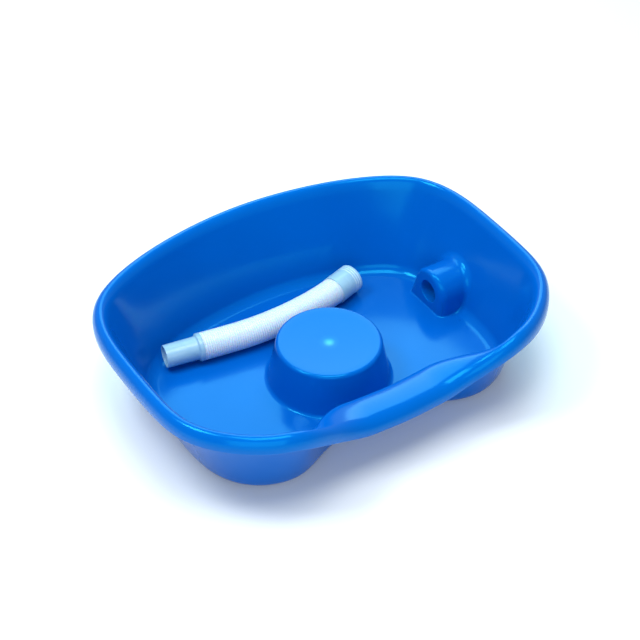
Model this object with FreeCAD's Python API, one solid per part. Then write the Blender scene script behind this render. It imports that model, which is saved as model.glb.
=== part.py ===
import FreeCAD, Part
import math
import os

from FreeCAD import Vector

# A bedside hair-washing basin with its loose drain hose. Millimetres, +Z up.
# X runs along the basin towards the drain, -Y is the side with the neck rest.
# The origin is on the ground under the middle of the basin's plan.

# ---- basin: overall ----
basinLength = 590.0
basinWidth = 452.0
basinHeight = 140.0
wall = 2.5

# ---- basin: rolled rim ----
rimHalfWidth = 11.5
rimRise = 15.8
skirtDrop = 21.6

# ---- basin: neck rest in the front rim ----
neckDip = 44.0
neckFlatHalf = 48.0
neckEndHalf = 184.0
saddleWidth = 58.0
saddleLipWidth = 17.0
saddleFall = 12.0
saddleStartHalf = 60.0
saddleEndHalf = 150.0

# ---- basin: floor ----
floorThickness = 2.5
floorFillet = 14.0

# ---- head pedestal, hollow from below ----
pedestalFrontGap = 4.5
pedestalHeight = 62.5
pedestalTopRadius = 72.5
pedestalBaseRadius = 85.5
pedestalDish = 2.5
pedestalEdge = 6.0
pedestalFoot = 5.0

# ---- drain boss at the foot of the +X end wall ----
drainY = 20.5
drainZ = 31.0
bossReach = 34.0
bossRadius = 34.0
bossEdge = 5.0
drainTubeWall = 3.0
drainTubeLength = 55.0
drainMouthFlare = 1.2

# ---- drain hose ----
hoseDia = 40.0
hoseWall = 1.6
restGap = 0.3
spigotDia = 33.0
spigotLength = 48.0
spigotWall = 2.2
collarLength = 6.0
drainPlay = 0.3
socketLength = 40.0
socketWall = 1.1
socketFreeDepth = 10.0
pressGrip = 0.1

# plan points of the hose, from the spigot end to the socket end
hoseRoute = [
    (-131.0, 98.5),
    (-98.0, 93.0),
    (-63.0, 88.0),
    (-27.0, 86.3),
    (10.0, 87.5),
    (47.0, 91.8),
    (84.0, 99.5),
    (118.0, 110.0),
]

# Half outlines from the back middle round the +X end to the front middle,
# as shares of half the length and half the width. The other half mirrors them.
rimOutline = [
    (0.0, 1.0),
    (0.339, 0.956),
    (0.644, 0.841),
    (0.888, 0.637),
    (0.986, 0.345),
    (1.0, 0.0),
    (0.993, -0.310),
    (0.949, -0.597),
    (0.780, -0.863),
    (0.542, -0.996),
    (0.339, -0.960),
    (0.169, -0.951),
    (0.0, -0.960),
]
floorOutline = [
    (0.0, 0.735),
    (0.298, 0.699),
    (0.532, 0.615),
    (0.705, 0.469),
    (0.773, 0.265),
    (0.790, 0.0),
    (0.793, -0.221),
    (0.766, -0.469),
    (0.651, -0.677),
    (0.461, -0.743),
    (0.298, -0.664),
    (0.149, -0.611),
    (0.0, -0.593),
]

# ---- how finely the outlines are sampled, and the ends of helper solids ----
stationCount = 96
overrun = 6.0
fusedIn = 0.5
quarterWeight = math.cos(math.radians(45))
filletWeight = math.cos(math.radians(37))
lidShare = 0.92


def floorFrontY():
    return floorOutline[-1][1] * basinWidth / 2


def pedestalY():
    """The pedestal's foot stands just behind the fillet of the front wall."""
    return floorFrontY() + floorFillet + pedestalFrontGap + pedestalFoot + pedestalBaseRadius


def bossFaceX():
    """The boss reaches in from where the end wall meets the floor."""
    return floorOutline[5][0] * basinLength / 2 - bossReach


def closedCurve(points, parameters):
    curve = Part.BSplineCurve()
    curve.interpolate(Points=points, PeriodicFlag=True, Parameters=parameters)
    return curve


def wholeOutline(half):
    scale = Vector(basinLength / 2, basinWidth / 2, 0)
    right = [Vector(x * scale.x, y * scale.y, 0) for x, y in half]
    left = [Vector(-p.x, p.y, 0) for p in right[1:-1]]
    return right + left[::-1]


def rootChordParameters(points):
    """Each step of the parameter is the square root of the chord, so bends stay round."""
    steps = [0.0]
    for first, second in zip(points, points[1:] + points[:1]):
        steps.append(steps[-1] + math.sqrt((second - first).Length))
    return [step / steps[-1] for step in steps]


def cosineStep(distance, start, end):
    """1 inside start, 0 outside end, and a cosine between them."""
    share = min(max((distance - start) / (end - start), 0.0), 1.0)
    return (1 + math.cos(math.pi * share)) / 2


class Station:
    """One section of the basin: a place on the rim with its inward direction and heights."""

    def __init__(self, rim, inward, foot):
        self.rim = rim
        self.inward = inward
        front = 1.0 if rim.y < -basinWidth / 4 else 0.0
        dip = front * cosineStep(abs(rim.x), neckFlatHalf, neckEndHalf)
        saddle = front * cosineStep(abs(rim.x), saddleStartHalf, saddleEndHalf)
        self.crest = basinHeight - neckDip * dip
        self.lip = rimHalfWidth + (saddleLipWidth - rimHalfWidth) * saddle
        self.width = 2 * rimHalfWidth + (saddleWidth - 2 * rimHalfWidth) * saddle
        self.fall = rimRise + (saddleFall - rimRise) * saddle
        self.foot = Vector(foot.x, foot.y, floorThickness)
        self.wallTop = self.at(self.width, self.crest - self.fall)

    def at(self, inset, z):
        return Vector(self.rim.x + self.inward.x * inset, self.rim.y + self.inward.y * inset, z)

    def leaning(self, offset):
        """The wall's line moved outwards by offset: its top, its foot and its plan direction."""
        run = self.foot - self.wallTop
        across = Vector(run.x, run.y, 0)
        slope = across.Length / -run.z
        across.normalize()
        sideways = offset * math.sqrt(1 + slope * slope)
        foot = self.foot + across * (offset * slope - sideways) - Vector(0, 0, offset)
        top = self.wallTop - across * sideways
        return top, foot, across


def makeStations():
    rimPoints = wholeOutline(rimOutline)
    parameters = rootChordParameters(rimPoints)
    rimCurve = closedCurve(rimPoints, parameters)
    floorCurve = closedCurve(wholeOutline(floorOutline), parameters)
    stations = []
    for index in range(stationCount):
        t = index / stationCount
        along = rimCurve.tangent(t)[0]
        inward = Vector(along.y, -along.x, 0).normalize()
        stations.append(Station(rimCurve.value(t), inward, floorCurve.value(t)))
    return stations


def rowPoles(points):
    parameters = [index / len(points) for index in range(len(points) + 1)]
    curve = closedCurve(points, parameters)
    return curve.getPoles(), curve.getMultiplicities(), curve.getKnots()


def strip(rows, middleWeight=None):
    """A closed band through its rows: flat between two, a conic bulge through three."""
    poles = []
    for row in rows:
        rowList, mults, knots = rowPoles(row)
        poles.append(rowList)
    degree = len(rows) - 1
    weights = [[1.0] * len(poles[0]) for _ in rows]
    if middleWeight:
        weights[1] = [middleWeight] * len(poles[0])
    surface = Part.BSplineSurface()
    surface.buildFromPolesMultsKnots(
        poles,
        [degree + 1, degree + 1],
        mults,
        [0.0, 1.0],
        knots,
        False,
        True,
        degree,
        3,
        weights,
    )
    return surface.toShape()


def disc(row):
    parameters = [index / len(row) for index in range(len(row) + 1)]
    edge = closedCurve(row, parameters).toShape()
    return Part.Face(Part.Wire([edge]))


def solidOf(faces):
    shell = Part.Shell(faces)
    shell.sewShape()
    solid = Part.Solid(shell)
    if solid.Volume < 0:
        solid.reverse()
    if not solid.isValid():
        solid.fix(0.001, 0.0001, 0.01)
    return solid


def tubRows(stations, offset):
    """The wall's top row and the three rows of the fillet at its foot."""
    top, start, corner, end = [], [], [], []
    radius = floorFillet + offset
    for station in stations:
        wallTop, foot, across = station.leaning(offset)
        up = (wallTop - foot).normalize()
        top.append(wallTop)
        start.append(foot + up * radius)
        corner.append(foot)
        end.append(foot + across * radius)
    return top, start, corner, end


def rimRows(stations, inset):
    """The rows of the rolled rim, from the skirt's lower edge to the top of the wall."""
    edge, shoulder, over, crest, inner = [], [], [], [], []
    for station in stations:
        wallTop = station.leaning(inset)[0]
        high = station.crest - inset
        edge.append(station.at(inset, station.crest - skirtDrop))
        shoulder.append(station.at(inset, station.crest - rimRise))
        over.append(station.at(inset, high))
        crest.append(station.at(station.lip, high))
        inner.append(Vector(wallTop.x, wallTop.y, high))
    return edge, shoulder, over, crest, inner


def skin(stations, inset):
    """One side of the moulding: skirt, rim, wall, floor fillet and floor."""
    edge, shoulder, over, crest, inner = rimRows(stations, inset)
    top, start, corner, end = tubRows(stations, inset)
    faces = [
        strip([edge, shoulder]),
        strip([shoulder, over, crest], quarterWeight),
        strip([crest, inner, top], quarterWeight),
        strip([top, start]),
        strip([start, corner, end], filletWeight),
        disc(end),
    ]
    return faces, edge


def tubBlock(stations, offset):
    """The tub as a solid block up to a flat lid, on the wall's line moved out by offset."""
    top, start, corner, end = tubRows(stations, offset)
    lidZ = min(point.z for point in top) * lidShare
    lid = []
    for high, low in zip(top, start):
        lid.append(low + (high - low) * ((lidZ - low.z) / (high.z - low.z)))
    return solidOf([
        disc(lid),
        strip([lid, start]),
        strip([start, corner, end], filletWeight),
        disc(end),
    ])


def makeMoulding(stations):
    upper, upperEdge = skin(stations, 0.0)
    under, underEdge = skin(stations, wall)
    return solidOf(upper + under + [strip([upperEdge, underEdge])])


def arcTo(wireEdges, start, middle, end):
    wireEdges.append(Part.Arc(start, middle, end).toShape())


def turned(points):
    """A solid of revolution about the Z axis from a closed outline in the XZ plane."""
    outline = Part.makePolygon(points + points[:1])
    return Part.Face(outline).revolve(Vector(0, 0, 0), Vector(0, 0, 1), 360)


def pedestalSolid(inset, baseZ):
    """The pedestal's outer or inner body, with a dished top and a rounded top edge."""
    lean = (pedestalBaseRadius - pedestalTopRadius) / pedestalHeight
    sideways = inset * math.sqrt(1 + lean * lean)
    topZ = floorThickness + pedestalHeight - inset
    topRadius = pedestalTopRadius - sideways + lean * inset
    baseRadius = topRadius + lean * (topZ - baseZ)
    dish = topZ - pedestalDish
    body = turned([
        Vector(0, 0, baseZ),
        Vector(baseRadius, 0, baseZ),
        Vector(topRadius, 0, topZ),
        Vector(0, 0, topZ),
    ])
    rim = [edge for edge in body.Edges if abs(edge.BoundBox.ZMin - topZ) < fusedIn]
    body = body.makeFillet(pedestalEdge - inset / 2, rim[:1])
    flatRadius = topRadius - pedestalEdge
    ballRadius = (flatRadius ** 2 + pedestalDish ** 2) / (2 * pedestalDish)
    ball = Part.makeSphere(ballRadius, Vector(0, 0, dish + ballRadius))
    body = body.cut(ball)
    body.translate(Vector(0, pedestalY(), 0))
    return body


def pedestalFootRing():
    """The small concave fillet where the pedestal meets the floor."""
    lean = (pedestalBaseRadius - pedestalTopRadius) / pedestalHeight
    low = floorThickness - fusedIn
    innerLow = pedestalBaseRadius - 2 * fusedIn
    outer = pedestalBaseRadius + pedestalFoot
    innerHigh = pedestalBaseRadius - lean * pedestalFoot
    high = floorThickness + pedestalFoot
    bulge = pedestalFoot * (1 - math.cos(math.radians(45)))
    edges = [
        Part.LineSegment(Vector(innerLow, 0, low), Vector(outer, 0, low)).toShape(),
        Part.LineSegment(Vector(outer, 0, low), Vector(outer, 0, floorThickness)).toShape(),
    ]
    middle = Vector(pedestalBaseRadius + bulge, 0, floorThickness + bulge)
    arcTo(edges, Vector(outer, 0, floorThickness), middle, Vector(innerHigh, 0, high))
    backIn = Vector(innerHigh - 2 * fusedIn, 0, high)
    edges.append(Part.LineSegment(Vector(innerHigh, 0, high), backIn).toShape())
    edges.append(Part.LineSegment(backIn, Vector(innerLow, 0, low)).toShape())
    ring = Part.Face(Part.Wire(edges)).revolve(Vector(0, 0, 0), Vector(0, 0, 1), 360)
    ring.translate(Vector(0, pedestalY(), 0))
    return ring


def archBlock(radius, startX, baseZ, length):
    """A round-topped block along X, centred on the drain."""
    left = Vector(startX, drainY - radius, baseZ)
    right = Vector(startX, drainY + radius, baseZ)
    leftTop = Vector(startX, drainY - radius, drainZ)
    rightTop = Vector(startX, drainY + radius, drainZ)
    crown = Vector(startX, drainY, drainZ + radius)
    edges = [
        Part.LineSegment(left, leftTop).toShape(),
        Part.Arc(leftTop, crown, rightTop).toShape(),
        Part.LineSegment(rightTop, right).toShape(),
        Part.LineSegment(right, left).toShape(),
    ]
    return Part.Face(Part.Wire(edges)).extrude(Vector(length, 0, 0))


def alongX(radius, startX, length):
    return Part.makeCylinder(radius, length, Vector(startX, drainY, drainZ), Vector(1, 0, 0))


def bossSolid(stations):
    """The boss as a full block, rounded in front and ending inside the wall's thickness."""
    faceX = bossFaceX()
    block = archBlock(bossRadius, faceX, floorThickness - fusedIn, basinLength / 2 - faceX)
    face = [
        edge
        for edge in block.Edges
        if edge.BoundBox.XMax < faceX + fusedIn and edge.BoundBox.ZMax > floorThickness
    ]
    return block.makeFillet(bossEdge, face).common(tubBlock(stations, wall / 2))


def drainRadius():
    return spigotDia / 2 + drainPlay


def drainTube():
    faceX = bossFaceX() + fusedIn
    return alongX(drainRadius() + drainTubeWall, faceX, drainTubeLength - fusedIn)


def drainBore():
    """The bore right through the tube, with a flared mouth in the boss's face."""
    faceX = bossFaceX()
    bore = drainRadius()
    hole = alongX(bore, faceX - fusedIn, drainTubeLength + 2 * fusedIn)
    mouth = Vector(faceX, drainY, drainZ)
    flare = Part.makeCone(bore + drainMouthFlare, bore, drainMouthFlare, mouth, Vector(1, 0, 0))
    return hole.fuse(flare)


def bossRecess():
    """The hollow behind the boss's face, open through the end wall."""
    startX = bossFaceX() + wall
    return archBlock(bossRadius - wall, startX, floorThickness, basinLength / 2 - startX)


def makeBasin(stations):
    basin = makeMoulding(stations)
    basin = basin.fuse([pedestalSolid(0.0, floorThickness - fusedIn), pedestalFootRing()])
    basin = basin.fuse(bossSolid(stations))
    basin = basin.cut(pedestalSolid(wall, -overrun))
    basin = basin.cut(bossRecess())
    return basin.fuse(drainTube()).cut(drainBore())


def hoseAxisZ():
    return floorThickness + restGap + hoseDia / 2 + socketWall


def hosePath():
    """Straight runs joined by tangent arcs, each as large as its shorter run allows."""
    points = [Vector(x, y, hoseAxisZ()) for x, y in hoseRoute]
    edges = []
    start = points[0]
    for before, here, after in zip(points, points[1:], points[2:]):
        back = before - here
        ahead = after - here
        reach = 0.45 * min(back.Length, ahead.Length)
        turn = math.pi - back.getAngle(ahead)
        radius = reach / math.tan(turn / 2)
        print("hose arc radius", round(radius, 1), "turn", round(math.degrees(turn), 1))
        back.normalize()
        ahead.normalize()
        arcStart = here + back * reach
        arcEnd = here + ahead * reach
        inside = (back + ahead).normalize()
        apex = radius / math.cos(turn / 2) - radius
        edges.append(Part.LineSegment(start, arcStart).toShape())
        edges.append(Part.Arc(arcStart, here + inside * apex, arcEnd).toShape())
        start = arcEnd
    edges.append(Part.LineSegment(start, points[-1]).toShape())
    return points, Part.Wire(edges)


def sweptTube(path, start, direction, radius):
    ring = Part.Wire([Part.Circle(start, direction, radius).toShape()])
    return path.makePipeShell([ring], True, False)


def makeHose():
    points, path = hosePath()
    direction = points[1] - points[0]
    outer = sweptTube(path, points[0], direction, hoseDia / 2)
    inner = sweptTube(path, points[0], direction, hoseDia / 2 - hoseWall)
    hose = outer.cut(inner)
    section = math.pi * ((hoseDia / 2) ** 2 - (hoseDia / 2 - hoseWall) ** 2)
    print("hose length", round(path.Length, 1))
    print("hose volume over section times length", round(hose.Volume / section / path.Length, 4))
    return points, hose


def ringAlong(start, direction, length, outerRadius, innerRadius):
    outer = Part.makeCylinder(outerRadius, length, start, direction)
    inner = Part.makeCylinder(innerRadius, length, start, direction)
    return outer.cut(inner)


def makeSpigotCuff(points):
    away = (points[0] - points[1]).normalize()
    boreRadius = spigotDia / 2 - spigotWall
    collar = ringAlong(points[0], away, collarLength, hoseDia / 2, boreRadius)
    pipe = ringAlong(points[0], away, collarLength + spigotLength, spigotDia / 2, boreRadius)
    return collar.fuse(pipe).removeSplitter()


def makeSocketCuff(points):
    along = (points[-1] - points[-2]).normalize()
    start = points[-1] - along * (socketLength - socketFreeDepth)
    outerRadius = hoseDia / 2 + socketWall
    return ringAlong(start, along, socketLength, outerRadius, hoseDia / 2 - pressGrip)


def export(shape, name):
    print(name, "valid", shape.isValid(), "solids", len(shape.Solids), "volume", round(shape.Volume))
    print("  box", [round(value, 1) for value in (
        shape.BoundBox.XMin, shape.BoundBox.XMax,
        shape.BoundBox.YMin, shape.BoundBox.YMax,
        shape.BoundBox.ZMin, shape.BoundBox.ZMax,
    )])
    shape.exportStep("parts/" + name + ".step")


def build():
    os.makedirs("parts", exist_ok=True)
    export(makeBasin(makeStations()), "basin")
    points, hose = makeHose()
    export(hose, "hose_tube")
    export(makeSpigotCuff(points), "hose_spigot_cuff")
    export(makeSocketCuff(points), "hose_socket_cuff")


build()
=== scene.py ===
import math

import bpy
import numpy as np
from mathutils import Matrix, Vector
from numpy.polynomial import polynomial as poly


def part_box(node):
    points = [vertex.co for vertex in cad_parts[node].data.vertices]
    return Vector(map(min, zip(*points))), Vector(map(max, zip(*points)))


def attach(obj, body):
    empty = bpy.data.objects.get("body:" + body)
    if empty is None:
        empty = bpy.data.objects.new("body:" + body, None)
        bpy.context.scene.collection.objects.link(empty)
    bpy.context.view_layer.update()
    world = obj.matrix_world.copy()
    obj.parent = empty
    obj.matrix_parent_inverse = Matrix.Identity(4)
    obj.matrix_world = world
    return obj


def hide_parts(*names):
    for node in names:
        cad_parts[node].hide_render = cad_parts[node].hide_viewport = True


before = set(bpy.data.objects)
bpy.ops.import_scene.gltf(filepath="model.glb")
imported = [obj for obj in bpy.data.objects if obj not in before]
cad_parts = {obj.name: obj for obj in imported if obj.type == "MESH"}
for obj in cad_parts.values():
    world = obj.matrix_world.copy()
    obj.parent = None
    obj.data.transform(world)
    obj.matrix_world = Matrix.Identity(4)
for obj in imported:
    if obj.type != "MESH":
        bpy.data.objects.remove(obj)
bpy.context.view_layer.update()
mm = 0.001

cameraSetup = dict(
    azimuth=-32.46,
    elevation=40.95,
    distance=2.086,
    lens=84.9,
    target=(0.01565, 0.0225, 0.060),
)


def placeCamera(azimuth, elevation, distance, lens, target):
    # stands off the target by distance, turned round +Z from -Y and raised by elevation, in degrees
    a, e = math.radians(azimuth), math.radians(elevation)
    back = Vector((math.sin(a) * math.cos(e), -math.cos(a) * math.cos(e), math.sin(e)))
    data = bpy.data.cameras.new("camera")
    data.lens = lens
    camera = bpy.data.objects.new("camera", data)
    camera.location = Vector(target) + back * distance
    camera.rotation_mode = "QUATERNION"
    camera.rotation_quaternion = (-back).to_track_quat("-Z", "Y")
    bpy.context.scene.collection.objects.link(camera)
    bpy.context.scene.camera = camera


placeCamera(**cameraSetup)
print("camera placed")


def meshObject(name, points, quads, triangles=None, marks=None):
    # a smooth mesh from whole arrays; points that no face uses are dropped
    if triangles is None:
        triangles = np.zeros((0, 3), int)
    used = np.unique(np.concatenate([quads.ravel(), triangles.ravel()]))
    renumber = np.zeros(len(points), int)
    renumber[used] = np.arange(len(used))
    corners = renumber[np.concatenate([quads.ravel(), triangles.ravel()])]
    counts = np.concatenate([np.full(len(quads), 4), np.full(len(triangles), 3)])
    mesh = bpy.data.meshes.new(name)
    mesh.vertices.add(len(used))
    mesh.vertices.foreach_set("co", points[used].astype(np.float32).ravel())
    mesh.loops.add(len(corners))
    mesh.loops.foreach_set("vertex_index", corners.astype(np.int32))
    mesh.polygons.add(len(counts))
    mesh.polygons.foreach_set("loop_start", (np.cumsum(counts) - counts).astype(np.int32))
    mesh.polygons.foreach_set("use_smooth", np.ones(len(counts), bool))
    mesh.update(calc_edges=True)
    for label, values in (marks or {}).items():
        layer = mesh.attributes.new(label, "FLOAT", "POINT")
        layer.data.foreach_set("value", values[used].astype(np.float32))
    thing = bpy.data.objects.new(name, mesh)
    bpy.context.scene.collection.objects.link(thing)
    return thing


def unit(vectors):
    return vectors / np.linalg.norm(vectors, axis=-1, keepdims=True)


def conic(start, corner, end, steps, weight):
    # points of a conic arc after its start: (1-s)^2, 2s(1-s)w and s^2, over their sum
    s = np.linspace(0, 1, steps + 1)[1:].reshape(-1, *([1] * np.ndim(start)))
    first, middle, last = (1 - s) ** 2, 2 * s * (1 - s) * weight, s**2
    return (first * start + middle * corner + last * end) / (first + middle + last)


def straight(start, end, shares):
    # start plus each share of the way to end
    s = np.asarray(shares).reshape(-1, *([1] * np.ndim(start)))
    return start + (end - start) * s


def evenShares(steps):
    return np.linspace(0, 1, steps + 1)[1:]


def ringQuads(rows, wrapRows=False):
    # rows holds vertex numbers, each row a closed ring
    nextRow = np.roll(rows, -1, 0) if wrapRows else rows[1:]
    thisRow = rows if wrapRows else rows[:-1]
    corners = [thisRow, np.roll(thisRow, -1, 1), np.roll(nextRow, -1, 1), nextRow]
    return np.stack(corners, -1).reshape(-1, 4)


# the hose: its route in plan is in millimetres, from the spigot end to the socket end
hoseForm = dict(
    route=[(-131, 98.5), (-98, 93), (-63, 88), (-27, 86.3), (10, 87.5), (47, 91.8), (84, 99.5), (118, 110)],
    diameter=40 * mm,
    innerRadius=18.4 * mm,
    pitch=3.2 * mm,
    grooveDepth=0.7 * mm,
    rowsPerPitch=6,
    around=48,
    grooveSharpness=0.8,
    cuffed=30 * mm,
    squeeze=0.3 * mm,
    curveSteps=32,
)


def hoseLine(route, height):
    # a quadratic NURBS curve through the route's ends, pulled towards its other points
    curve = bpy.data.curves.new("hose_line", "CURVE")
    curve.dimensions = "3D"
    curve.resolution_u = hoseForm["curveSteps"]
    spline = curve.splines.new("NURBS")
    spline.points.add(len(route) - 1)
    places = np.array([(x * mm, y * mm, height, 1) for x, y in route])
    spline.points.foreach_set("co", places.ravel())
    spline.order_u = 3
    spline.use_endpoint_u = True
    carrier = bpy.data.objects.new("hose_line", curve)
    bpy.context.scene.collection.objects.link(carrier)
    bpy.context.view_layer.update()
    line = bpy.data.meshes.new_from_object(carrier)
    points = np.zeros(len(line.vertices) * 3)
    line.vertices.foreach_get("co", points)
    bpy.data.objects.remove(carrier)
    return points.reshape(-1, 3)


def lengthsAlong(points):
    # running length of a line of points, from 0
    return np.concatenate([[0], np.cumsum(np.linalg.norm(np.diff(points, axis=0), axis=1))])


def placesAlong(points, distances):
    # places on the line at those running lengths
    run = lengthsAlong(points)
    return np.stack([np.interp(distances, run, points[:, axis]) for axis in range(3)], -1)


def tubeAlong(points, distances, radii, around):
    # rings square to the line; side is the level direction across it, so a ring never twists
    step = 0.5 * mm
    length = lengthsAlong(points)[-1]
    centre = placesAlong(points, distances)
    ahead = placesAlong(points, np.clip(distances + step, 0, length))
    behind = placesAlong(points, np.clip(distances - step, 0, length))
    heading = unit(ahead - behind)
    side = unit(np.cross(heading, [0, 0, 1.0]))
    up = np.cross(side, heading)
    turn = np.linspace(0, 2 * math.pi, around, endpoint=False)
    spokes = side[:, None] * np.cos(turn)[None, :, None] + up[:, None] * np.sin(turn)[None, :, None]
    return centre[:, None] + spokes * radii[:, None, None]


def makeHoseTube(points, form):
    # outside radius = crest radius less groove depth times a raised cosine along the line;
    # the smooth inside runs back and closes on the first row
    length = lengthsAlong(points)[-1]
    pitches = round(length / form["pitch"])
    rows = pitches * form["rowsPerPitch"]
    along = np.linspace(0, length, rows + 1)
    wave = (1 - np.cos(2 * math.pi * pitches * along / length)) / 2
    inCuff = np.clip((along - (length - form["cuffed"])) / form["pitch"], 0, 1)
    groove = form["grooveDepth"] * wave ** form["grooveSharpness"]
    outer = form["diameter"] / 2 - groove - form["squeeze"] * inCuff
    backAlong = np.linspace(length, 0, pitches // 2 + 1)
    inner = np.full(len(backAlong), form["innerRadius"]) - form["squeeze"]
    distances = np.concatenate([along, backAlong])
    rings = tubeAlong(points, distances, np.concatenate([outer, inner]), form["around"])
    numbers = np.arange(rings.shape[0] * rings.shape[1]).reshape(rings.shape[:2])
    # the groove mark: how deep each outside row sits in a groove, with a half for the inside rows; it lays
    # painted shade into the grooves and the tube's inside
    depth = np.concatenate([wave, np.full(len(backAlong), 0.5)])
    marks = {"groove": np.repeat(depth, form["around"])}
    quads = ringQuads(numbers, True)[:, ::-1]
    return meshObject("hose_corrugated", rings.reshape(-1, 3), quads, marks=marks)


tubeLow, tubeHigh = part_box("hose_tube")
hoseHeight = (tubeLow.z + tubeHigh.z) / 2
hosePoints = hoseLine(hoseForm["route"], hoseHeight)
hoseTube = makeHoseTube(hosePoints, hoseForm)
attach(hoseTube, "hose")
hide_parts("hose_tube")

# the hose's two cuffs, turned about its end directions
spigotForm = dict(
    collar=6 * mm,
    collarRadius=20 * mm,
    radius=16.5 * mm,
    bore=14.3 * mm,
    length=54 * mm,
    shoulder=2 * mm,
    rootSpread=0.2 * mm,
    tipTaper=0.3 * mm,
    rounding=1 * mm,
    around=96,
)
socketForm = dict(
    radius=21.1 * mm,
    bore=19.9 * mm,
    length=40 * mm,
    before=30 * mm,
    around=96,
    grooves=[28 * mm, 32 * mm, 36 * mm],
    grooveWidth=2 * mm,
    grooveDepth=0.6 * mm,
    rounding=0.5 * mm,
)


def turnedPiece(name, start, heading, profile, around, shares=None):
    # profile is (distance along, radius), closed, running along the outside first
    profile = np.array(profile)
    side = unit(np.cross(heading, [0, 0, 1.0]))
    up = np.cross(side, heading)
    turn = np.linspace(0, 2 * math.pi, around, endpoint=False)[:, None]
    spokes = side * np.cos(turn) + up * np.sin(turn)
    rings = start + profile[:, :1, None] * heading + profile[:, 1:, None] * spokes
    numbers = np.arange(rings.shape[0] * rings.shape[1]).reshape(rings.shape[:2])
    marks = {"groove": np.repeat(shares, around)} if shares is not None else None
    return meshObject(name, rings.reshape(-1, 3), ringQuads(numbers, True)[:, ::-1], marks=marks)


def roundedProfile(corners, radius, steps=4, weight=0.7):
    # each corner of a closed outline becomes a conic arc, no longer than a third of its sides
    corners = np.array(corners, float)
    before, after = np.roll(corners, 1, 0) - corners, np.roll(corners, -1, 0) - corners
    reach = np.minimum(np.linalg.norm(before, axis=1), np.linalg.norm(after, axis=1)) / 3
    reach = np.minimum(reach, radius)[:, None]
    start, end = corners + unit(before) * reach, corners + unit(after) * reach
    arcs = np.concatenate([start[None], conic(start, corners, end, steps, weight)])
    return arcs.transpose(1, 0, 2).reshape(-1, 2)


def makeSpigotCuff(form):
    # a collar on the hose's end, then a slightly tapered pipe, bored through
    heading = unit(hosePoints[0] - hosePoints[1])
    neck = form["collar"]
    corners = [
        (0, form["collarRadius"]),
        (neck, form["collarRadius"]),
        (neck + form["shoulder"], form["radius"] + form["rootSpread"]),
        (form["length"], form["radius"] - form["tipTaper"]),
        (form["length"], form["bore"]),
        (neck / 2, form["bore"]),
        (0, form["bore"]),
    ]
    profile = roundedProfile(corners, form["rounding"])
    return turnedPiece("spigot_cuff", hosePoints[0], heading, profile, form["around"])


def makeSocketCuff(form):
    # a plain sleeve over the hose's end, with shallow V grooves near its mouth
    heading = unit(hosePoints[-1] - hosePoints[-2])
    start = hosePoints[-1] - heading * form["before"]
    end, low, high = form["length"], form["bore"], form["radius"]
    corners = [(0, low), (0, high)]
    for middle in form["grooves"]:
        half = form["grooveWidth"] / 2
        corners += [(middle - half, high), (middle, high - form["grooveDepth"])]
        corners += [(middle + half, high)]
    corners += [(end, high), (end, low), (end / 2, low)]
    profile = roundedProfile(corners, form["rounding"])
    # how deep each outside row lies in a groove, from 0 to 1
    lengths, radii = profile.T
    margin = form["grooveWidth"]
    outside = (radii > (low + high) / 2) & (lengths > margin) & (lengths < end - margin)
    shares = np.clip((high - radii) / form["grooveDepth"], 0, 1) * outside
    return turnedPiece("socket_cuff", start, heading, profile, form["around"], shares)


spigotCuff = makeSpigotCuff(spigotForm)
socketCuff = makeSocketCuff(socketForm)
for cuff, node in ((spigotCuff, "hose_spigot_cuff"), (socketCuff, "hose_socket_cuff")):
    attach(cuff, "hose")
    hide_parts(node)
print("hose and cuffs made")

# the basin and its drain: sizes in millimetres here, made metres below
basinForm = dict(
    wall=2.5,
    rimHalfWidth=11.5,
    rimRise=15.8,
    skirtDrop=21.6,
    neckDip=44,
    neckFlatHalf=48,
    neckEndHalf=184,
    saddleWidth=58,
    saddleLip=17,
    saddleFall=12,
    saddleStartHalf=60,
    saddleEndHalf=150,
    floorTop=2.5,
    fillet=14,
    pedestalY=-25,
    pedestalHeight=62.5,
    pedestalTop=72.5,
    pedestalBase=85.5,
    pedestalEdge=4.9,
    pedestalDish=2.5,
    pedestalFoot=5,
    hollowEdge=3,
    hollowEdgeLess=1.5,
    gateRadius=6,
    gateDepth=0.7,
)
drainForm = dict(
    y=20.5,
    z=31,
    faceX=199.05,
    radius=34,
    edge=5.5,
    frontEdge=12,
    junction=9,
    footJunction=2,
    sideFlare=10,
    bore=16.8,
    flare=1.2,
    tube=19.8,
    tubeEnd=254.05,
    tubeFoot=1.5,
    wall=2.5,
    recessEdge=1,
    windowBack=84,
    windowFront=-34,
)
basinForm = {name: value * mm for name, value in basinForm.items()}
drainForm = {name: value * mm for name, value in drainForm.items()}
meshForm = dict(
    windowSteps=72,
    otherSteps=324,
    wallSteps=22,
    wallAbove=8,
    filletSteps=12,
    floorFine=10,
    floorCoarse=5,
    edgeSteps=6,
    bossRows=46,
    recessRows=34,
    smoothing=60,
    upperRimSteps=(3, 12, 14),
    underRimSteps=(2, 8, 10),
)
arcWeights = dict(quarter=0.707, lean=0.81, fillet=0.799, foot=0.776)

# half outlines from the back middle round the drain end to the front middle,
# as shares of half the length and half the width
rimOutline = [
    (0, 1), (0.339, 0.956), (0.644, 0.841), (0.888, 0.637), (0.986, 0.345), (1, 0), (0.993, -0.310),
    (0.949, -0.597), (0.780, -0.863), (0.542, -0.996), (0.339, -0.960), (0.169, -0.951), (0, -0.960),
]
floorOutline = [
    (0, 0.735), (0.298, 0.699), (0.532, 0.615), (0.705, 0.469), (0.773, 0.265), (0.790, 0), (0.793, -0.221),
    (0.766, -0.469), (0.651, -0.677), (0.461, -0.743), (0.298, -0.664), (0.149, -0.611), (0, -0.593),
]


def wholeOutline(half, size):
    # the half outline and its mirror image, as one closed loop
    right = np.array(half) * size
    return np.vstack([right, right[-2:0:-1] * (-1, 1)])


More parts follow.
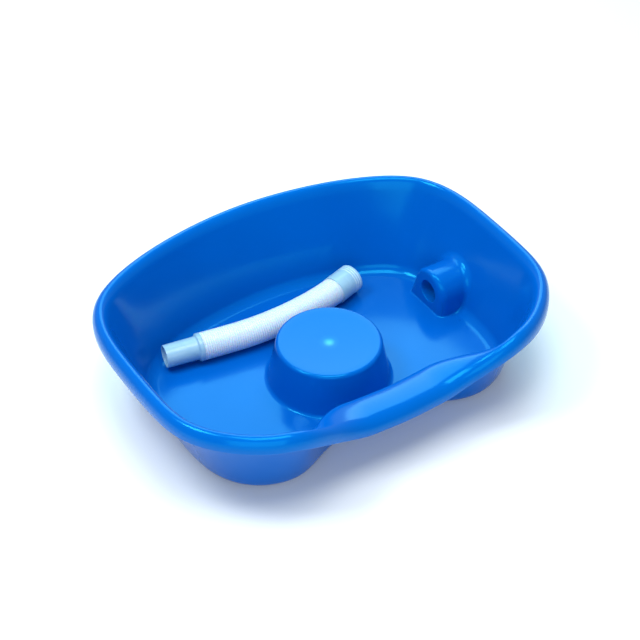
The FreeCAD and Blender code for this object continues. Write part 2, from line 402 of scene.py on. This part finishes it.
def closedSpline(points, knots, at):
    # closed cubic spline: solves for the bends at the knots, then gives places and slopes
    count = len(points)
    index = np.arange(count)
    step = np.diff(knots)
    matrix = np.diag(2 * (np.roll(step, 1) + step))
    matrix[index, index - 1] = np.roll(step, 1)
    matrix[index, (index + 1) % count] = step
    chord = (np.roll(points, -1, 0) - points) / step[:, None]
    bends = np.linalg.solve(matrix, 6 * (chord - np.roll(chord, 1, 0)))
    k = np.clip(np.searchsorted(knots, at, side="right") - 1, 0, count - 1)
    n = (k + 1) % count
    h, left, right = step[k][:, None], (knots[k + 1] - at)[:, None], (at - knots[k])[:, None]
    places = (bends[k] * left**3 + bends[n] * right**3) / (6 * h)
    places += (points[k] / h - bends[k] * h / 6) * left + (points[n] / h - bends[n] * h / 6) * right
    slopes = (bends[n] * right**2 - bends[k] * left**2) / (2 * h) + chord[k] - (bends[n] - bends[k]) * h / 6
    return places, slopes


def cosineStep(distance, start, end):
    # 1 up to start and 0 from end on, with half a cosine wave between
    share = np.clip((distance - start) / (end - start), 0, 1)
    return (1 + np.cos(math.pi * share)) / 2


class Stations:
    # places round the rim, each with its inward direction, its rim sizes and its point on the floor
    def __init__(self, form, size, height):
        halfSize = np.array([size[0], size[1]]) / 2
        self.rimPoints = wholeOutline(rimOutline, halfSize)
        self.floorPoints = wholeOutline(floorOutline, halfSize)
        chords = np.linalg.norm(np.roll(self.rimPoints, -1, 0) - self.rimPoints, axis=1)
        knots = np.concatenate([[0], np.cumsum(np.sqrt(chords))])
        self.knots = knots / knots[-1]
        at = self.spread()
        rim, along = closedSpline(self.rimPoints, self.knots, at)
        foot, _ = closedSpline(self.floorPoints, self.knots, at)
        self.rim = rim
        self.inward = unit(np.stack([along[:, 1], -along[:, 0]], -1))
        front = rim[:, 1] < -halfSize[1] / 2
        dip = front * cosineStep(abs(rim[:, 0]), form["neckFlatHalf"], form["neckEndHalf"])
        saddle = front * cosineStep(abs(rim[:, 0]), form["saddleStartHalf"], form["saddleEndHalf"])
        self.crest = height - form["neckDip"] * dip
        self.lip = form["rimHalfWidth"] + (form["saddleLip"] - form["rimHalfWidth"]) * saddle
        self.width = 2 * form["rimHalfWidth"] + (form["saddleWidth"] - 2 * form["rimHalfWidth"]) * saddle
        self.fall = form["rimRise"] + (form["saddleFall"] - form["rimRise"]) * saddle
        self.foot = np.column_stack([foot, np.full(len(foot), form["floorTop"])])
        self.wallTop = self.at(self.width, self.crest - self.fall)

    def spread(self):
        # close stations where the drain is, wider ones round the rest, even along the rim
        fine = np.linspace(0, 1, 6001)
        rim, _ = closedSpline(self.rimPoints, self.knots, fine)
        foot, _ = closedSpline(self.floorPoints, self.knots, fine)
        run = np.concatenate([[0], np.cumsum(np.linalg.norm(np.diff(rim, axis=0), axis=1))])
        onEnd = (fine > 0.05) & (fine < 0.35)
        edges = [-drainForm["windowBack"], -drainForm["windowFront"]]
        first, last = np.interp(np.interp(edges, -foot[onEnd, 1], fine[onEnd]), fine, run)
        near = np.linspace(first, last, meshForm["windowSteps"] + 1)[:-1]
        rest = np.linspace(last, first + run[-1], meshForm["otherSteps"] + 1)[:-1]
        return np.interp(np.mod(np.concatenate([near, rest]), run[-1]), run, fine)

    def at(self, inset, z):
        # every station moved inwards by inset, at height z
        plan = self.rim + self.inward * np.reshape(inset, (-1, 1))
        return np.column_stack([plan, np.broadcast_to(z, len(self.rim))])

    def leaning(self, offset):
        # the wall's line moved outwards by offset: across = plan direction, slope = lean
        run = self.foot - self.wallTop
        across = run * (1, 1, 0)
        slope = (np.linalg.norm(across, axis=1) / -run[:, 2])[:, None]
        across = unit(across)
        sideways = offset * np.sqrt(1 + slope**2)
        foot = self.foot + across * (offset * slope - sideways) - (0, 0, offset)
        return self.wallTop - across * sideways, foot, across

    def tubRows(self, offset, form):
        # the straight wall, then a conic fillet onto the floor
        top, foot, across = self.leaning(offset)
        radius = form["fillet"] + offset
        start, end = foot + unit(top - foot) * radius, foot + across * radius
        wallRows = straight(top, start, evenShares(meshForm["wallSteps"]))
        filletRows = conic(start, foot, end, meshForm["filletSteps"], arcWeights["fillet"])
        return top, foot, wallRows, filletRows, end

    def rimRows(self, offset, form, steps):
        # the skirt's lower edge, up the skirt, over the crest on two conic arcs, into the wall
        top, foot = self.leaning(offset)[:2]
        half = form["wall"] / 2
        high = self.crest - offset
        edge = self.at(offset, self.crest - form["skirtDrop"] + half)
        shoulder = self.at(offset, self.crest - form["rimRise"])
        over, crest = self.at(offset, high), self.at(self.lip, high)
        rise = ((high - top[:, 2]) / (top[:, 2] - foot[:, 2]))[:, None]
        inner = top + (top - foot) * rise
        return [
            edge[None],
            straight(edge, shoulder, evenShares(steps[0])),
            conic(shoulder, over, crest, steps[1], arcWeights["quarter"]),
            conic(crest, inner, top, steps[2], arcWeights["lean"]),
        ]


def floorShares():
    # fine rows over the first quarter of the way, coarse ones after it
    fine = evenShares(meshForm["floorFine"]) / 4
    return np.concatenate([fine, 0.25 + 0.75 * evenShares(meshForm["floorCoarse"])])


def pedestalRows(stations, floorEnd, form, under):
    # rows from the floor's edge up over the pedestal to its centre; under gives the hollow side
    centre = np.array([0, form["pedestalY"]])
    outward = unit(floorEnd[:, :2] - centre)
    wall = form["wall"] if under else 0
    lean = (form["pedestalBase"] - form["pedestalTop"]) / form["pedestalHeight"]
    topZ = form["floorTop"] + form["pedestalHeight"] - wall
    topRadius = form["pedestalTop"] - wall * math.sqrt(1 + lean**2) + lean * wall
    baseZ = form["floorTop"] - wall
    baseRadius = topRadius + lean * (topZ - baseZ)
    foot = form["hollowEdge"] if under else form["pedestalFoot"]
    edge = form["pedestalEdge"] - (form["hollowEdgeLess"] if under else 0)

    def ring(radius, z):
        return np.column_stack([centre + outward * radius, np.full(len(outward), z)])

    footStart, footCorner = ring(baseRadius + foot, baseZ), ring(baseRadius, baseZ)
    coneStart = ring(baseRadius - lean * foot, baseZ + foot)
    coneEnd = ring(topRadius + lean * edge, topZ - edge)
    flat = topRadius - edge
    slope = 2 * form["pedestalDish"] / flat
    corner = ring(topRadius, topZ + slope * edge / 2)
    steps = (3, 3, 4, 4) if under else (5, 4, 9, 9)
    radii = np.linspace(flat, 0, steps[3] + 1)[1:-1]
    radii = np.concatenate([radii, np.array([1.6, 1.2, 0.8, 0.4]) * form["gateRadius"]])
    radii = np.sort(radii)[::-1]
    dish = topZ - form["pedestalDish"] * (1 - (radii / flat) ** 2)
    dish = dish - form["gateDepth"] * cosineStep(radii, 0, 1.6 * form["gateRadius"])
    rows = [
        straight(floorEnd, footStart, floorShares()),
        conic(footStart, footCorner, coneStart, steps[0], arcWeights["foot"]),
        straight(coneStart, coneEnd, evenShares(steps[1])),
        conic(coneEnd, corner, ring(flat, topZ), steps[2], arcWeights["foot"]),
        np.array([ring(radius, z) for radius, z in zip(radii, dish)]),
    ]
    pole = [*centre, topZ - form["pedestalDish"] - form["gateDepth"]]
    return rows, pole


# the round-topped boss over the drain is held as distances from surfaces
def roundMax(a, b, radius):
    # the larger of two distances, its ridge turned into an arc of that radius
    beyond = np.hypot(np.maximum(a + radius, 0), np.maximum(b + radius, 0))
    return np.minimum(np.maximum(a + radius, b + radius), 0) + beyond - radius


def roundMin(a, b, radius):
    return -roundMax(-a, -b, radius)


def archDistance(y, z, radius):
    # distance from a half round of that radius about the drain, with upright sides below it
    return np.hypot(y - drainForm["y"], np.maximum(z - drainForm["z"], 0)) - radius


def flaredArch(y, z):
    # the boss's outline, with its back side spreading towards the floor
    form = drainForm
    low = np.clip(1 - z / form["z"], 0, 1)
    back = np.clip((y - form["y"]) / form["radius"], 0, 1)
    return archDistance(y, z, form["radius"]) - form["sideFlare"] * low * back


class EndWall:
    # the end wall near the drain as x over (y, z), with the fillet at its foot
    scale = 0.1
    margin = 8

    def __init__(self, stations, form):
        near = np.arange(-self.margin, meshForm["windowSteps"] + 1 + self.margin)
        places = straight(stations.wallTop[near], stations.foot[near], np.linspace(0, 1, 12))
        x, y, z = places.reshape(-1, 3).T
        basis = poly.polyvander2d(y / self.scale, z / self.scale, [6, 2])
        fitted = np.linalg.lstsq(basis, x, rcond=None)[0]
        print("end wall fit", np.abs(basis @ fitted - x).max() / mm, "mm")
        self.shape = fitted.reshape(7, 3)
        self.bySide, self.byHeight = poly.polyder(self.shape, axis=0), poly.polyder(self.shape, axis=1)
        self.floor, self.reach = form["floorTop"], form["fillet"]

    def inside(self, p):
        # distance from the tub's inner skin, above zero in the bowl
        y, z = p[..., 1] / self.scale, p[..., 2] / self.scale
        sideSlope = poly.polyval2d(y, z, self.bySide) / self.scale
        heightSlope = poly.polyval2d(y, z, self.byHeight) / self.scale
        size = np.sqrt(1 + sideSlope**2 + heightSlope**2)
        toWall = (poly.polyval2d(y, z, self.shape) - p[..., 0]) / size
        toFloor = p[..., 2] - self.floor
        c = heightSlope / size
        radius = self.reach * np.sqrt((1 + c) / (1 - c))
        u, v = radius - toWall, radius - toFloor
        arc = radius - np.sqrt(np.maximum(u**2 + v**2 - 2 * c * u * v, 0) / (1 - c**2))
        return np.where((u > c * v) & (v > c * u), arc, np.minimum(toWall, toFloor))

    def upper(self, p):
        # the bowl's skin joined to the boss; edge and join radii change round the boss
        form = drainForm
        y, z = p[..., 1], p[..., 2]
        front = 1 - cosineStep(form["y"] - y, 0, form["radius"])
        edge = form["edge"] + (form["frontEdge"] - form["edge"]) * front
        boss = roundMax(flaredArch(y, z), form["faceX"] - p[..., 0], edge)
        high = 1 - cosineStep(z, 8 * mm, 45 * mm)
        junction = form["footJunction"] + (form["junction"] - form["footJunction"]) * high
        return roundMin(self.inside(p), boss, junction)

    def under(self, p):
        # the outer skin with the recess behind the boss cut into it
        form = drainForm
        edge = form["recessEdge"]
        arch = archDistance(p[..., 1], p[..., 2], form["radius"] - form["wall"])
        sides = roundMax(arch, self.floor - p[..., 2], edge)
        recess = roundMax(sides, form["faceX"] + form["wall"] - p[..., 0], 2 * edge)
        return roundMax(-self.inside(p) - form["wall"], -recess, edge)


def pullOnto(points, field, passes):
    # steps along the field's slope to where it is zero
    step, leastSlope = 0.05 * mm, 0.05
    for _ in range(passes):
        slopes = [(field(points + o) - field(points - o)) / (2 * step) for o in np.eye(3) * step]
        slope = np.stack(slopes, -1)
        size = np.maximum((slope**2).sum(-1, keepdims=True), leastSlope)
        points = points - field(points)[..., None] * slope / size
    return points


def respaced(rows):
    # the rows of each column set at even distances along it
    run = np.linalg.norm(np.diff(rows, axis=0), axis=2)
    run = np.concatenate([np.zeros((1, rows.shape[1])), np.cumsum(run, 0)])
    wanted = np.linspace(0, 1, len(rows))[:, None] * run[-1]
    index = np.clip((run[:, None] <= wanted[None]).sum(0) - 1, 0, len(rows) - 2)
    low, high = np.take_along_axis(run, index, 0), np.take_along_axis(run, index + 1, 0)
    share = ((wanted - low) / np.maximum(high - low, 1e-9))[..., None]
    index = index[..., None]
    lowPlace = np.take_along_axis(rows, index, 0)
    highPlace = np.take_along_axis(rows, index + 1, 0)
    return lowPlace + (highPlace - lowPlace) * share


def patchRows(outside, inside, count, field, rounds):
    # rings from the window's edge to a circle, smoothed while they are held on the field's surface
    share = np.linspace(0, 1, count + 1)[:, None, None]
    rows = outside + (inside - outside) * share
    rows[..., 0] = outside[:, 0] + (inside - outside)[:, 0] * np.clip(share[..., 0] * 2, 0, 1)
    rows[1:-1] = pullOnto(rows[1:-1], field, 3)
    for turn in range(rounds):
        around = np.roll(rows, 1, 1) + np.roll(rows, -1, 1)
        middle = (rows[:-2] + rows[2:] + around[1:-1]) / 4
        rows[1:-1] = pullOnto(middle, field, 1)
        if turn % 6 == 5:
            rows = respaced(rows)
    rows[1:-1] = pullOnto(rows[1:-1], field, 3)
    return rows


def drainRings(spokes):
    # the tube from its foot behind the boss, round its end and back through the bore to the mouth
    form = drainForm
    bottom = form["faceX"] + form["wall"]
    foot, flare = form["tubeFoot"], form["flare"]
    tipRadius = (form["tube"] - form["bore"]) / 2
    tip = form["tubeEnd"] - tipRadius
    middle = form["bore"] + tipRadius
    turn = np.linspace(math.pi / 2, -math.pi / 2, 7)
    quarter = np.linspace(0, math.pi / 2, 5)
    rings = [(bottom + foot * (1 - math.cos(a)), form["tube"] + foot * (1 - math.sin(a))) for a in quarter]
    rings += [(x, form["tube"]) for x in np.linspace(bottom + foot, tip, 8)[1:-1]]
    rings += [(tip + tipRadius * math.cos(a), middle + tipRadius * math.sin(a)) for a in turn]
    rings += [(x, form["bore"]) for x in np.linspace(tip, form["faceX"] + flare, 9)[1:-1]]
    mouth, bore = form["faceX"] + flare, form["bore"] + flare
    rings += [(mouth - flare * math.sin(a), bore - flare * math.cos(a)) for a in quarter]
    x, radius = np.array(rings)[:, 0], np.array(rings)[:, 1]
    across = np.array([form["y"], form["z"]]) + radius[:, None, None] * spokes
    return np.concatenate([np.broadcast_to(x[:, None, None], (*across.shape[:2], 1)), across], -1)


def windowLoop(floorRow, topRow, lastColumn):
    # row and column numbers round the window: along the floor, up, back along the top and down
    step = 1 if topRow > floorRow else -1
    rows, columns = np.arange(floorRow, topRow, step), np.arange(lastColumn)
    loopRows = [np.full(lastColumn, floorRow), rows, np.full(lastColumn, topRow), rows[::-1] + step]
    loopColumns = [columns, np.full(len(rows), lastColumn), columns[::-1] + 1, np.zeros(len(rows), int)]
    return np.concatenate(loopRows), np.concatenate(loopColumns)


def settleRows(rows, topRow, floorRow, field):
    # rows near the window move onto the field, all the way at its edge and not at all further off
    count, last = rows.shape[1], meshForm["windowSteps"]
    columns, index = np.arange(count), np.arange(rows.shape[0])
    sideways = np.maximum(np.minimum(columns - last, count - columns), 0)
    low, high = min(topRow, floorRow), max(topRow, floorRow)
    upDown = np.maximum(np.maximum(low - index, index - high), 0)
    weight = cosineStep(sideways, 0, 5)[None, :] * cosineStep(upDown, 0, 4)[:, None]
    near = weight > 0.001
    moved = pullOnto(rows[near], field, 3)
    rows[near] += (moved - rows[near]) * weight[near][:, None]
    return rows


def makeBasin(form):
    # two skins of closed rings, joined at the skirt's edge and through the drain
    low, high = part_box("basin")
    stations = Stations(form, (high - low)[:2], high.z)
    endWall = EndWall(stations, form)
    halfWall = form["wall"] / 2
    sides = []
    skins = ((False, meshForm["upperRimSteps"]), (True, meshForm["underRimSteps"]))
    for under, steps in skins:
        offset = form["wall"] if under else 0
        _, _, wallRows, filletRows, floorEnd = stations.tubRows(offset, form)
        pedestal, pole = pedestalRows(stations, floorEnd, form, under)
        rimRows = stations.rimRows(offset, form, steps)
        rows = np.concatenate([*rimRows, wallRows, filletRows, *pedestal])
        topRow = sum(steps) + meshForm["wallAbove"]
        floorRow = sum(steps) + sum(meshForm[part] for part in ("wallSteps", "filletSteps", "floorFine"))
        field = (lambda p: -endWall.inside(p) - drainForm["wall"]) if under else endWall.inside
        sides.append((settleRows(rows, topRow, floorRow, field), pole, topRow, floorRow))
    turn = np.linspace(0, math.pi, meshForm["edgeSteps"] + 2)[1:-1]
    edgeTop = stations.crest - form["skirtDrop"]
    edgeRows = np.array([
        stations.at(halfWall * (1 - math.cos(a)), edgeTop + halfWall * (1 - math.sin(a))) for a in turn
    ])
    (upper, upperPole, upperTop, upperFloor), (lower, lowerPole, lowerTop, lowerFloor) = sides
    rows = np.concatenate([upper[::-1], edgeRows, lower])
    ringCount, count = rows.shape[:2]
    numbers = np.arange(ringCount * count).reshape(ringCount, count)
    quads = ringQuads(numbers).reshape(ringCount - 1, count, 4)

    # the two windows, one in each skin, are left out and filled by the boss and its recess
    last = meshForm["windowSteps"]
    upperTop, upperFloor = len(upper) - 1 - upperTop, len(upper) - 1 - upperFloor
    shift = len(upper) + len(edgeRows)
    lowerTop, lowerFloor = lowerTop + shift, lowerFloor + shift
    kept = np.ones(quads.shape[:2], bool)
    kept[upperFloor:upperTop, :last] = False
    kept[lowerTop:lowerFloor, :last] = False
    upperRows, columns = windowLoop(upperFloor, upperTop, last)
    lowerRows, _ = windowLoop(lowerFloor, lowerTop, last)
    upperEdge, lowerEdge = rows[upperRows, columns], rows[lowerRows, columns]
    spokes = unit(upperEdge[:, 1:] - (drainForm["y"], drainForm["z"]))
    rings = drainRings(spokes)
    smoothing = meshForm["smoothing"]
    front = patchRows(upperEdge, rings[-1], meshForm["bossRows"], endWall.upper, smoothing)
    behind = patchRows(lowerEdge, rings[0], meshForm["recessRows"], endWall.under, smoothing)
    chain = np.concatenate([behind[1:], rings[1:], front[::-1][1:-1]])
    start = rows.shape[0] * rows.shape[1]
    chainNumbers = np.arange(chain.shape[0] * chain.shape[1]).reshape(chain.shape[:2]) + start
    lowerNumbers, upperNumbers = numbers[lowerRows, columns], numbers[upperRows, columns]
    chainNumbers = np.vstack([lowerNumbers, chainNumbers, upperNumbers])

    points = np.concatenate([rows.reshape(-1, 3), chain.reshape(-1, 3), [upperPole, lowerPole]])
    poleNumber = len(points) - 2
    ahead = np.roll(numbers, -1, 1)
    upperFan = np.column_stack([ahead[0], numbers[0], np.full(count, poleNumber)])
    lowerFan = np.column_stack([numbers[-1], ahead[-1], np.full(count, poleNumber + 1)])
    allQuads = np.concatenate([quads[kept], ringQuads(chainNumbers)[:, ::-1]])
    # a lighter spot over the gate dimple on the pedestal's top: a painted highlight
    fromGate = np.linalg.norm(points[:, :2] - (0, form["pedestalY"]), axis=1) / form["gateRadius"]
    gateHighlight = np.exp(-(fromGate**2)) * (points[:, 2] > form["pedestalHeight"] / 2)
    fans = np.concatenate([upperFan, lowerFan])
    return meshObject("basin_shell", points, allQuads, fans, marks={"gateHighlight": gateHighlight})


basin = makeBasin(basinForm)
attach(basin, "basin")
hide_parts("basin")
print("basin made", len(basin.data.vertices), "vertices")


cloudBand = (0.3, 0.7)  # the part of a noise's range that a pattern is spread over
rippleHeight = 0.2 * mm


def newMaterial(name, look):
    material = bpy.data.materials.new(name)
    material.use_nodes = True
    shader = material.node_tree.nodes["Principled BSDF"]
    for socket, value in look.items():
        shader.inputs[socket].default_value = value
    return material, material.node_tree, shader


def noiseOf(tree, scale, detail, roughness=0.5):
    place = tree.nodes.new("ShaderNodeTexCoord")
    noise = tree.nodes.new("ShaderNodeTexNoise")
    noise.inputs["Scale"].default_value = scale
    noise.inputs["Detail"].default_value = detail
    noise.inputs["Roughness"].default_value = roughness
    tree.links.new(place.outputs["Object"], noise.inputs["Vector"])
    return noise.outputs["Fac"]


def blendOf(tree, factor, first, second):
    ramp = tree.nodes.new("ShaderNodeValToRGB")
    ramp.color_ramp.elements[0].position = cloudBand[0]
    ramp.color_ramp.elements[1].position = cloudBand[1]
    ramp.color_ramp.elements[0].color = (*first, 1)
    ramp.color_ramp.elements[1].color = (*second, 1)
    tree.links.new(factor, ramp.inputs["Fac"])
    return ramp.outputs["Color"]


def rangeOf(tree, factor, low, high):
    spread = tree.nodes.new("ShaderNodeMapRange")
    spread.inputs["From Min"].default_value = cloudBand[0]
    spread.inputs["From Max"].default_value = cloudBand[1]
    spread.inputs["To Min"].default_value = low
    spread.inputs["To Max"].default_value = high
    tree.links.new(factor, spread.inputs["Value"])
    return spread.outputs["Result"]


def addBump(tree, shader, factor, strength):
    bump = tree.nodes.new("ShaderNodeBump")
    bump.inputs["Strength"].default_value = strength
    bump.inputs["Distance"].default_value = rippleHeight
    tree.links.new(factor, bump.inputs["Height"])
    tree.links.new(bump.outputs["Normal"], shader.inputs["Normal"])


def plastic(name, form):
    # two close colours in soft clouds, an uneven gloss, and a fine moulded ripple
    material, tree, shader = newMaterial(name, form["look"])
    clouds = noiseOf(tree, form["cloudScale"], 2)
    tree.links.new(blendOf(tree, clouds, *form["colors"]), shader.inputs["Base Color"])
    gloss = rangeOf(tree, noiseOf(tree, form["glossScale"], 3), *form["gloss"])
    tree.links.new(gloss, shader.inputs["Roughness"])
    addBump(tree, shader, noiseOf(tree, form["rippleScale"], 2), form["ripple"])
    return material, tree, shader


basinPlastic = dict(
    look={"IOR": 1.49, "Specular Tint": (0.03, 0.8, 1.0, 1)},
    colors=[(0.0, 0.09, 0.42), (0.0, 0.106, 0.47)],
    cloudScale=5,
    gloss=(0.13, 0.2),
    glossScale=14,
    ripple=0.06,
    rippleScale=160,
)
# the cuffs' colours are partly their own milky tint and partly painted blue light from the basin seen
# through them
cuffPlastic = dict(
    look={"IOR": 1.49, "Alpha": 0.76},
    colors=[(0.31, 0.55, 0.71), (0.39, 0.62, 0.76)],
    cloudScale=40,
    gloss=(0.2, 0.3),
    glossScale=60,
    ripple=0.1,
    rippleScale=300,
)
hosePlastic = dict(
    look={"IOR": 1.45, "Subsurface Weight": 0.25, "Subsurface Scale": 0.004},
    colors=[(0.63, 0.70, 0.77), (0.70, 0.75, 0.80)],
    cloudScale=30,
    gloss=(0.35, 0.45),
    glossScale=80,
    ripple=0.1,
    rippleScale=400,
)
# painted shade: the darker colour laid into the hose's grooves
grooveShadeTint = (0.52, 0.63, 0.72)
ringTint = (0.80, 0.94, 0.98)
# painted highlight: the lighter colour of the spot over the pedestal's gate dimple
gateHighlightTint = (0.06, 0.42, 0.80)


def tintedPlastic(name, form, label, tint):
    # as plastic, with a second colour wherever the mesh carries that mark
    material, tree, shader = plastic(name, form)
    mark = tree.nodes.new("ShaderNodeAttribute")
    mark.attribute_name = label
    mix = tree.nodes.new("ShaderNodeMix")
    mix.data_type = "RGBA"
    first, second = [socket for socket in mix.inputs if socket.type == "RGBA"]
    result = [socket for socket in mix.outputs if socket.type == "RGBA"][0]
    cloud = shader.inputs["Base Color"].links[0].from_socket
    tree.links.new(mark.outputs["Fac"], mix.inputs["Factor"])
    tree.links.new(cloud, first)
    second.default_value = (*tint, 1)
    tree.links.new(result, shader.inputs["Base Color"])
    return material


# the basin's blue, with a painted highlight over the gate dimple
basin.data.materials.append(tintedPlastic("basin_blue", basinPlastic, "gateHighlight", gateHighlightTint))
# the hose's plastic, with painted shade laid into its grooves
hoseTube.data.materials.append(tintedPlastic("hose_white", hosePlastic, "groove", grooveShadeTint))
cuffMaterial = tintedPlastic("cuff_milky", cuffPlastic, "groove", ringTint)
for cuff in (spigotCuff, socketCuff):
    cuff.data.materials.append(cuffMaterial)
print("materials made")

# the floor and the light
stageForm = dict(
    floorSize=12,
    floorGloss=0.7,
    floorClouds=1.5,
    floorColors=[(0.86, 0.86, 0.87), (0.89, 0.89, 0.9)],
    worldColor=(0.82, 0.93, 1),
    worldStrength=0.44,
    lights=[
        dict(name="back", place=(0.77, 1.2, 1.3), size=1.5, power=27, color=(0.45, 0.85, 1)),
        dict(name="key", place=(-0.9, 0.3, 1.7), size=0.6, power=19, color=(0.85, 0.95, 1)),
        dict(name="top", place=(-0.1, -0.35, 2.0), size=1.0, power=24, color=(0.9, 0.97, 1)),
        dict(name="front", place=(-1.2, -1.8, 0.9), size=1.7, power=21, color=(0.9, 0.97, 1)),
    ],
    target=(0, 0, 0.05),
)


def makeStage(form):
    corners = np.array([(-1, -1, 0), (1, -1, 0), (1, 1, 0), (-1, 1, 0)]) * form["floorSize"] / 2
    floor = meshObject("floor", corners, np.array([[0, 1, 2, 3]]))
    material, tree, shader = newMaterial("floor_pale", {"Roughness": form["floorGloss"]})
    clouds = noiseOf(tree, form["floorClouds"], 2)
    tree.links.new(blendOf(tree, clouds, *form["floorColors"]), shader.inputs["Base Color"])
    floor.data.materials.append(material)
    world = bpy.data.worlds.new("studio")
    world.use_nodes = True
    sky = world.node_tree.nodes["Background"]
    sky.inputs["Color"].default_value = (*form["worldColor"], 1)
    sky.inputs["Strength"].default_value = form["worldStrength"]
    bpy.context.scene.world = world
    for item in form["lights"]:
        data = bpy.data.lights.new(item["name"], "AREA")
        data.size = item["size"]
        data.energy = item["power"]
        data.color = item["color"]
        lamp = bpy.data.objects.new(item["name"], data)
        lamp.location = item["place"]
        aim = Vector(form["target"]) - Vector(item["place"])
        lamp.rotation_mode = "QUATERNION"
        lamp.rotation_quaternion = aim.to_track_quat("-Z", "Y")
        bpy.context.scene.collection.objects.link(lamp)
    bpy.context.scene.view_settings.view_transform = "Standard"


makeStage(stageForm)
print("stage made")
